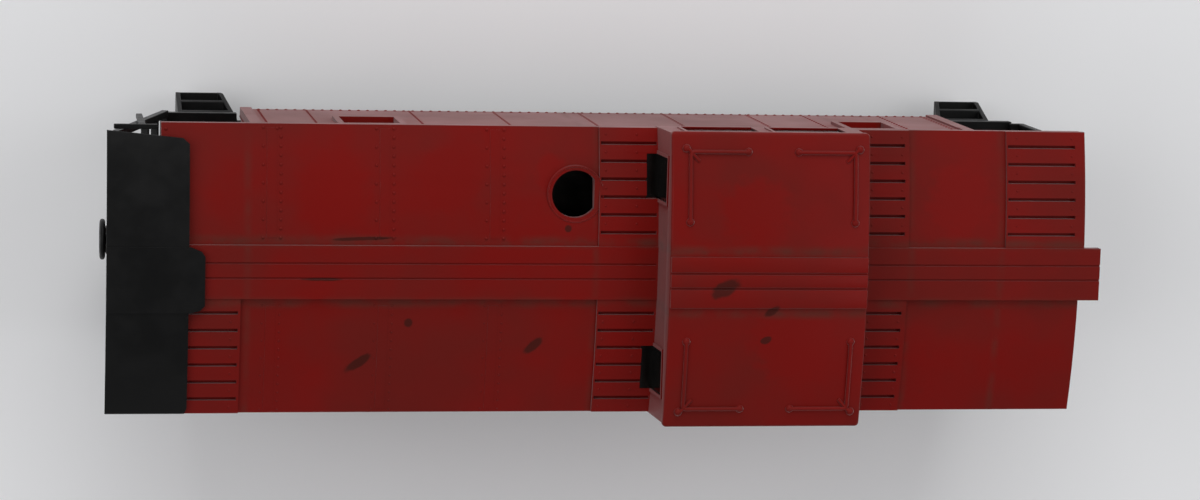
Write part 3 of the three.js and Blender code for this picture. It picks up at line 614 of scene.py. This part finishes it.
# ---------------------------------------------------------------- cupola
class CABOOSE_OT_cupola_roof(bpy.types.Operator):
    """Cambered cupola roof with rounded corners"""
    bl_idname = "caboose.cupola_roof"
    bl_label = "Cupola roof"

    def execute(self, context):
        low, high = CUPOLA_LOW, CUPOLA_HIGH
        bm = bmesh.new()
        slab(bm, (low.x, low.y, low.z), (high.x, high.y, CUPOLA_EDGE_Z))
        corners = [e for e in bm.edges if abs(e.verts[0].co.z - e.verts[1].co.z) > 0.5 * MM]
        bmesh.ops.bevel(bm, geom=corners, offset=0.5 * MM, segments=5, affect="EDGES",
                        profile=0.5, material=-1, clamp_overlap=True)
        steps = 26
        for i in range(1, steps):
            y = low.y + (high.y - low.y) * i / steps
            bmesh.ops.bisect_plane(bm, geom=bm.verts[:] + bm.edges[:] + bm.faces[:], dist=0.001 * MM,
                                   plane_co=(0, y, 0), plane_no=(0, 1, 0))
        for vert in bm.verts:
            if vert.co.z > CUPOLA_EDGE_Z - 0.01 * MM:
                vert.co.z = cupola_height(vert.co.y)
        rim = [e for e in bm.edges if len(e.link_faces) == 2 and e.calc_face_angle(0) > 1.0
               and min(v.co.z for v in e.verts) > low.z + 0.3 * MM]
        bmesh.ops.bevel(bm, geom=rim, offset=0.28 * MM, segments=3, affect="EDGES",
                        profile=0.5, material=-1, clamp_overlap=True)
        made = piece_from(bm, "cupola_roof_sheet", "red", 30)
        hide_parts("cupola_roof")
        ride_car(made)
        return {"FINISHED"}


class CABOOSE_OT_cupola_walk(bpy.types.Operator):
    """Three planks of running board over the cupola"""
    bl_idname = "caboose.cupola_walk"
    bl_label = "Cupola running board"

    def execute(self, context):
        bm = bmesh.new()
        cuts = [-WALK_HALF_WIDTH, -0.75 * MM, 1.15 * MM, WALK_HALF_WIDTH]
        gap = 0.14 * MM
        base = CUPOLA_EDGE_Z + CUPOLA_CROWN - 0.4 * MM
        top = CUPOLA_HIGH.z - 0.02 * MM
        slab(bm, (CUPOLA_LOW.x + 0.2 * MM, -WALK_HALF_WIDTH + gap, base),
             (CUPOLA_HIGH.x - 0.2 * MM, WALK_HALF_WIDTH - gap, top - 0.28 * MM))
        for y0, y1 in zip(cuts, cuts[1:]):
            verts = slab(bm, (CUPOLA_LOW.x + 0.1 * MM, y0 + gap, base),
                         (CUPOLA_HIGH.x - 0.1 * MM, y1 - gap, top))
            soften(bm, verts, 0.08)
        ride_car(piece_from(bm, "cupola_running_board", "red", 40))
        return {"FINISHED"}


class CABOOSE_OT_cupola_grabs(bpy.types.Operator):
    """L-shaped grab irons with round bosses at the cupola's corners"""
    bl_idname = "caboose.cupola_grabs"
    bl_label = "Cupola grab irons"

    def execute(self, context):
        bm = bmesh.new()
        along = 7.4 * MM
        reach = 16.4 * MM
        inner = 7.6 * MM
        lift = 0.2 * MM
        for x, toward in ((CUPOLA_LOW.x + 2.4 * MM, 1), (CUPOLA_HIGH.x - 1.9 * MM, -1)):
            for side in (1, -1):
                corner = Vector((x, side * reach, cupola_height(reach) + lift))
                far = Vector((x + toward * along, side * reach, cupola_height(reach) + lift))
                steps = 8
                down = [Vector((x, side * (reach + (inner - reach) * i / steps),
                                cupola_height(reach + (inner - reach) * i / steps) + lift))
                        for i in range(1, steps + 1)]
                line = filleted([far, corner, down[0]], 0.5) + down[1:]
                merge_into(bm, round_bar("bar", line, 0.25))
                for end in (far, down[-1], corner - Vector((toward * 0.55, -side * 0.4, 0)) * MM):
                    stud(bm, end - Vector((0, 0, lift)), 0.55, rise=0.75)
                # the corner's stay, from its boss across the bend
                stay = [corner + Vector((toward * d, -side * d * 1.1, 0)) * MM for d in (-0.4, 0.35, 1.1)]
                merge_into(bm, round_bar("stay", stay, 0.22))
        ride_car(piece_from(bm, "cupola_grab_irons", "red", 60))
        return {"FINISHED"}


class CABOOSE_OT_cupola_window_lips(bpy.types.Operator):
    """Raised lips around the cupola windows"""
    bl_idname = "caboose.cupola_window_lips"
    bl_label = "Cupola window lips"

    def execute(self, context):
        bm = bmesh.new()
        for side in (1, -1):
            ys = sorted(side * y for y in END_WINDOW_Y)
            for wall, out in CUPOLA_ENDS:
                window_lip(bm, ys, END_WINDOW_Z, lambda a, b, c, wall=wall, out=out: Vector((
                    wall + out * (c - WALL_LEAN * (b - EAVE_Z)), a, b)))
            for xs in SIDE_WINDOWS_X:
                window_lip(bm, xs, SIDE_WINDOW_Z, lambda a, b, c, side=side: Vector((
                    a, side * (CUPOLA_SIDE_Y + c), b)))
        close_up(bm)
        ride_car(piece_from(bm, "cupola_window_lips", "red", 40))
        return {"FINISHED"}


class CABOOSE_OT_door_fittings(bpy.types.Operator):
    """Hinges, handles and window lips of the end doors"""
    bl_idname = "caboose.door_fittings"
    bl_label = "Door fittings"

    def execute(self, context):
        bm = bmesh.new()
        for end in (1, -1):
            face = WALL_X + 0.3 * MM
            window_lip(bm, (-2.0 * MM, 2.0 * MM), (26.5 * MM, 33.5 * MM),
                       lambda a, b, c, end=end: Vector((end * (face + c), a, b)))
            for z in (18.0, 25.0, 34.5):
                turned(bm, [(0, -0.8), (0.28, -0.8), (0.28, 0.8), (0, 0.8)],
                       (end * face, end * 4.4 * MM, z * MM), (0, 0, 1), 12)
            stud(bm, Vector((end * (face + 0.1 * MM), -end * 3.6 * MM, 25.2 * MM)), 0.42, (end, 0, 0), 1.0)
            for low, high in ((15.6, 20.4), (21.4, 25.6)):
                for y0, y1 in ((-3.4, -0.3), (0.3, 3.4)):
                    verts = slab(bm, (end * face - 0.1 * MM, y0 * MM, low * MM),
                                 (end * face + 0.1 * MM, y1 * MM, high * MM))
                    soften(bm, verts, 0.06, 1)
        close_up(bm)
        ride_car(piece_from(bm, "door_fittings", "red", 40))
        return {"FINISHED"}


class CABOOSE_OT_glazing(bpy.types.Operator):
    """Insert and panes behind the cupola windows, coloured nearly black as painted shade for the car's
    interior
    """
    bl_idname = "caboose.glazing"
    bl_label = "Glazing"

    def execute(self, context):
        # the insert is coloured nearly black: painted shade for the interior seen through the windows
        ride_car(rounded_copy("cupola_glazing", "cupola_window_insert_painted_shade", "glazing", 0.05))
        gap = 0.02 * MM
        bm = bmesh.new()
        for side in (1, -1):
            y0, y1 = sorted(side * y for y in END_WINDOW_Y)
            for wall, out in CUPOLA_ENDS:
                # the pane leans with the wall, and its foot lies in the notch cut through the boards as a
                # thin nearly black sheet: painted shade in the notch
                low, high = END_WINDOW_Z[0] + 0.01 * MM, END_WINDOW_Z[1] - gap
                for vert in slab(bm, (-0.7 * MM, y0 + gap, low), (-0.1 * MM, y1 - gap, high)):
                    a, b, c = vert.co
                    vert.co = (wall + out * (a - WALL_LEAN * (c - EAVE_Z)), b, c)
                ends = sorted((wall - out * 0.3 * MM, wall + out * 1.38 * MM))
                slab(bm, (ends[0], y0 + gap, low), (ends[1], y1 - gap, low + 0.09 * MM))
            ys = sorted((side * (CUPOLA_SIDE_Y - 0.65 * MM), side * (CUPOLA_SIDE_Y - 0.1 * MM)))
            for xs in SIDE_WINDOWS_X:
                slab(bm, (xs[0] + gap, ys[0], SIDE_WINDOW_Z[0] + gap),
                     (xs[1] - gap, ys[1], SIDE_WINDOW_Z[1] - gap))
        close_up(bm)
        ride_car(piece_from(bm, "cupola_window_panes_painted_shade", "glazing"))
        return {"FINISHED"}


# ---------------------------------------------------------------- end gear and underframe
class CABOOSE_OT_end_gear(bpy.types.Operator):
    """Canopy, end frame, railing, ladder and steps"""
    bl_idname = "caboose.end_gear"
    bl_label = "End gear"

    def execute(self, context):
        widths = {"canopy_b": 0.14, "end_frame_b": 0.16, "end_railing_a": 0.18, "end_ladder_a": 0.14}
        for node in (*widths, "canopy_bracket_b_left", "canopy_bracket_b_right",
                     "steps_b_left", "steps_b_right", "steps_a_left", "steps_a_right"):
            width = widths.get(node, 0.1)
            ride_car(rounded_copy(node, node + "_moulding", "black", width))
        return {"FINISHED"}


class CABOOSE_OT_underframe(bpy.types.Operator):
    """Underframe, its tanks and the coupler box lids"""
    bl_idname = "caboose.underframe"
    bl_label = "Underframe"

    def execute(self, context):
        for node in ("underframe", "air_tank", "brake_cylinder", "battery_box",
                     "coupler_lid_a", "coupler_lid_b"):
            ride_car(rounded_copy(node, node + "_moulding", "black", 0.12))
        ride_car(rounded_copy("ballast_weight", "ballast_bar", "steel", 0.2))
        for end in ("a", "b"):
            ride_car(rounded_copy(f"truck_screw_{end}", f"truck_screw_{end}_turned", "screw", 0.08))
        return {"FINISHED"}


class CABOOSE_OT_trucks(bpy.types.Operator):
    """Truck frames"""
    bl_idname = "caboose.trucks"
    bl_label = "Trucks"

    def execute(self, context):
        for end in ("a", "b"):
            made = rounded_copy(f"truck_frame_{end}", f"truck_frame_{end}_moulding", "black", 0.12)
            link(made, f"truck_{end}")
        return {"FINISHED"}


WHEEL_PROFILE = [
    (1.3, 0.0), (5.2, 0.0), (5.36, 0.05), (5.44, 0.2), (5.4, 0.42), (5.2, 0.64), (4.95, 0.8),
    (4.84, 0.95), (4.71, 2.66), (4.62, 2.77), (4.5, 2.8), (4.12, 2.8), (4.0, 2.74), (3.88, 2.55),
    (3.6, 2.32), (2.5, 2.12), (2.15, 2.14), (1.95, 2.3), (1.8, 2.56), (1.68, 2.62), (1.3, 2.64),
]
AXLE_PROFILE = [
    (0.0, -12.2), (0.14, -12.16), (0.6, -11.4), (0.6, -10.75), (0.7, -10.6), (1.02, -10.52), (1.1, -10.44),
    (1.1, -3.2), (1.0, -2.9), (1.0, 2.9), (1.1, 3.2),
    (1.1, 10.44), (1.02, 10.52), (0.7, 10.6), (0.6, 10.75), (0.6, 11.4), (0.14, 12.16), (0.0, 12.2),
]


class CABOOSE_OT_wheels(bpy.types.Operator):
    """Turned wheels and their axles"""
    bl_idname = "caboose.wheels"
    bl_label = "Wheelsets"

    def execute(self, context):
        for end in ("a", "b"):
            for number in (1, 2):
                body = f"wheelset_{end}{number}"
                for side, out in (("left", 1), ("right", -1)):
                    node = f"wheel_{end}{number}_{side}"
                    low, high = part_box(node)
                    middle = (low + high) / 2
                    back = low.y if out > 0 else high.y
                    bm = bmesh.new()
                    turned(bm, WHEEL_PROFILE, (middle.x, back, middle.z), (0, out, 0))
                    close_up(bm)
                    for face in bm.faces:
                        centre = face.calc_center_median()
                        radius = math.hypot(centre.x - middle.x, centre.z - middle.z)
                        if radius > 4.45 * MM and abs(centre.y - back) > 0.85 * MM:
                            face.material_index = 1
                    made = piece_from(bm, node + "_turned", ("wheel", "tread"), 50)
                    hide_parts(node)
                    link(made, body)
                node = f"axle_{end}{number}"
                low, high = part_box(node)
                bm = bmesh.new()
                turned(bm, AXLE_PROFILE, (low + high) / 2, (0, 1, 0), 32)
                close_up(bm)
                made = piece_from(bm, node + "_turned", "steel", 40)
                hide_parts(node)
                link(made, body)
        return {"FINISHED"}


class CABOOSE_OT_truck_details(bpy.types.Operator):
    """Coil springs, journal box lids and bolts on the truck side frames"""
    bl_idname = "caboose.truck_details"
    bl_label = "Truck details"

    def execute(self, context):
        for end, centre in TRUCK_X.items():
            bm = bmesh.new()
            for side in (1, -1):
                for x in (-1.9, 0.0, 1.9):
                    self.coil(bm, Vector(((centre + x) * MM, side * 13.0 * MM, 3.25 * MM)))
                for x in (-10.5, 10.5):
                    self.journal_lid(bm, (centre + x) * MM, side)
                for x, z in ((-6.9, 7.3), (6.9, 7.3), (-4.6, 8.5), (4.6, 8.5), (-4.2, 3.2), (4.2, 3.2)):
                    turned(bm, [(0, 0.34), (0.3, 0.34), (0.42, 0.2), (0.42, -0.1), (0, -0.1)],
                           ((centre + x) * MM, side * 13.0 * MM, z * MM), (0, side, 0), 6)
            close_up(bm)
            link(piece_from(bm, f"truck_{end}_details", "black", 40), f"truck_{end}")
        return {"FINISHED"}

    def coil(self, bm, foot):
        """A coil spring of round wire standing on foot."""
        wire, radius, turns, rise = 0.17 * MM, 0.82 * MM, 4, 3.1 * MM
        start = Matrix.Translation(foot + Vector((radius, 0, 0))) @ Matrix.Rotation(math.pi / 2, 4, "X")
        ring = bmesh.ops.create_circle(bm, cap_ends=True, segments=6, radius=wire, matrix=start)
        face = ring["verts"][0].link_faces[0]
        steps = turns * 14
        bmesh.ops.spin(bm, geom=[face], cent=foot, axis=(0, 0, 1), dvec=(0, 0, rise / steps),
                       angle=turns * 2 * math.pi, steps=steps)

    def journal_lid(self, bm, x, side):
        """The hinged lid of a journal box."""
        y = side * 13.7 * MM
        verts = slab(bm, (x - 1.15 * MM, y - 0.1 * MM, 4.2 * MM),
                     (x + 1.15 * MM, y + side * 0.28 * MM, 6.6 * MM))
        soften(bm, verts, 0.18, 2)
        hinge = [(0, -0.9), (0.26, -0.9), (0.26, 0.9), (0, 0.9)]
        turned(bm, hinge, (x, y + side * 0.1 * MM, 6.75 * MM), (1, 0, 0), 12)
        stud(bm, Vector((x, y + side * 0.26 * MM, 4.9 * MM)), 0.36, (0, side, 0), 0.7)


class CABOOSE_OT_couplers(bpy.types.Operator):
    """Couplers and knuckles"""
    bl_idname = "caboose.couplers"
    bl_label = "Couplers"

    def execute(self, context):
        for end in ("a", "b"):
            for node, width in ((f"coupler_{end}", 0.15), (f"knuckle_{end}", 0.12)):
                link(rounded_copy(node, node + "_casting", "coupler", width), node)
        return {"FINISHED"}


HUB_PROFILE = [
    (0, 0.02), (0.5, 0.02), (0.72, 0.14), (0.8, 0.32), (0.8, 0.8), (0.42, 0.9), (0.42, 4.6), (0, 4.6),
]


class CABOOSE_OT_brake_wheel(bpy.types.Operator):
    """Round-rimmed brake wheel with dished spokes, on its shaft"""
    bl_idname = "caboose.brake_wheel"
    bl_label = "Brake wheel"

    def execute(self, context):
        low, high = BRAKE_LOW, BRAKE_HIGH
        hub = Vector((low.x, (low.y + high.y) / 2, (low.z + high.z) / 2))
        outer = (high.y - low.y) / 2 / MM
        bm = bmesh.new()
        rim = [(outer - 0.3 + 0.3 * math.cos(a), 0.35 + 0.33 * math.sin(a))
               for a in (2 * math.pi * i / 12 for i in range(12))]
        turned(bm, rim, hub, (1, 0, 0), 56)
        turned(bm, HUB_PROFILE, hub, (1, 0, 0), 24)
        for i in range(6):
            turn = Matrix.Rotation(i * math.pi / 3, 4, "X")
            verts = slab(bm, (0.16 * MM, -0.24 * MM, 0.6 * MM), (0.54 * MM, 0.24 * MM, (outer - 0.3) * MM))
            bmesh.ops.transform(bm, matrix=Matrix.Translation(hub) @ turn, verts=verts)
            soften(bm, verts, 0.1, 2)
        close_up(bm)
        made = piece_from(bm, "brake_wheel_moulding", "black", 40)
        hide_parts("brake_wheel")
        link(made, "brake_wheel")
        return {"FINISHED"}


# ---------------------------------------------------------------- stage
CAMERA_PLACE = Vector((-79.7, 64.1, 461.8)) * MM
CAMERA_TARGET = Vector((-3.656, 2.562, 40.0)) * MM
CAMERA_ROLL = 1.706
CAMERA_LENS = 101.5


class CABOOSE_OT_stage(bpy.types.Operator):
    """Pale floor, soft studio light and the camera"""
    bl_idname = "caboose.stage"
    bl_label = "Stage"

    def execute(self, context):
        scene = context.scene
        bm = bmesh.new()
        bmesh.ops.create_grid(bm, x_segments=8, y_segments=8, size=6.0)
        mesh = bpy.data.meshes.new("floor")
        bm.to_mesh(mesh)
        bm.free()
        floor = bpy.data.objects.new("floor", mesh)
        scene.collection.objects.link(floor)
        material, tree, place = new_material("matt_paper_floor")
        paper = list(settings().floor_colour)
        shaded = [channel * 0.985 for channel in paper[:3]] + [1.0]
        give_surface(tree, {
            "Base Color": over(tree, patches(tree, place, 60, 0.3, 0.7, 2), 1.0, paper, shaded),
            "Roughness": 0.85,
        })
        mesh.materials.append(material)

        world = bpy.data.worlds.new("studio")
        scene.world = world
        world.use_nodes = True
        world.node_tree.nodes["Background"].inputs["Color"].default_value = linear("#eef0f4")
        world.node_tree.nodes["Background"].inputs["Strength"].default_value = 0.25

        for name, spot, aim, size, power in (
            ("softbox_behind", (0.0, 1.05, 0.7), (0, 0, 0.02), 0.9, 7.8),
            ("softbox_left", (-0.85, 0.1, 1.0), (0, 0, 0.02), 0.9, 4.2),
            ("softbox_right", (0.85, 0.1, 1.0), (0, 0, 0.02), 0.9, 3.5),
            ("softbox_front", (0.0, -1.1, 0.7), (0, 0, 0.02), 0.9, 1.6),
        ):
            light = bpy.data.lights.new(name, "AREA")
            light.shape = "SQUARE"
            light.size = size
            light.energy = power
            holder = bpy.data.objects.new(name, light)
            holder.location = spot
            holder.rotation_mode = "QUATERNION"
            holder.rotation_quaternion = (Vector(aim) - Vector(spot)).to_track_quat("-Z", "Y")
            scene.collection.objects.link(holder)

        lens = bpy.data.cameras.new("camera")
        lens.sensor_width = 36.0
        lens.lens = CAMERA_LENS
        lens.clip_start = 0.01
        lens.clip_end = 20.0
        camera = bpy.data.objects.new("camera", lens)
        back = (CAMERA_PLACE - CAMERA_TARGET).normalized()
        right = Vector((0, 1, 0)).cross(back).normalized()
        up = back.cross(right)
        turn = Matrix((right, up, back)).transposed() @ Matrix.Rotation(math.radians(CAMERA_ROLL), 3, "Z")
        camera.matrix_world = Matrix.Translation(CAMERA_PLACE) @ turn.to_4x4()
        scene.collection.objects.link(camera)
        scene.camera = camera
        scene.view_settings.view_transform = "Standard"
        return {"FINISHED"}


# ---------------------------------------------------------------- add-on
OPERATORS = (
    CABOOSE_OT_body, CABOOSE_OT_roof_rivets, CABOOSE_OT_board_bolts, CABOOSE_OT_side_rivets,
    CABOOSE_OT_smokejack_collar, CABOOSE_OT_cupola_roof, CABOOSE_OT_cupola_walk,
    CABOOSE_OT_cupola_grabs, CABOOSE_OT_cupola_window_lips, CABOOSE_OT_door_fittings,
    CABOOSE_OT_glazing, CABOOSE_OT_end_gear, CABOOSE_OT_underframe, CABOOSE_OT_trucks,
    CABOOSE_OT_truck_details, CABOOSE_OT_wheels, CABOOSE_OT_couplers, CABOOSE_OT_brake_wheel,
    CABOOSE_OT_stage,
)


class CABOOSE_PT_panel(bpy.types.Panel):
    """Lists the caboose's pieces"""
    bl_label = "Caboose"
    bl_idname = "CABOOSE_PT_panel"
    bl_space_type = "VIEW_3D"
    bl_region_type = "UI"
    bl_category = "Caboose"

    def draw(self, context):
        for name in ("edge_round", "rivet_radius", "seam_pitch", "floor_colour"):
            self.layout.prop(context.scene.caboose, name)
        for operator in OPERATORS:
            self.layout.operator(operator.bl_idname)


CLASSES = (CabooseSettings, *OPERATORS, CABOOSE_PT_panel)


def register():
    for cls in CLASSES:
        bpy.utils.register_class(cls)
    bpy.types.Scene.caboose = bpy.props.PointerProperty(type=CabooseSettings)


def unregister():
    del bpy.types.Scene.caboose
    for cls in reversed(CLASSES):
        bpy.utils.unregister_class(cls)


def main():
    register()
    for operator in OPERATORS:
        group, name = operator.bl_idname.split(".")
        getattr(getattr(bpy.ops, group), name)()


if __name__ == "__main__":
    main()
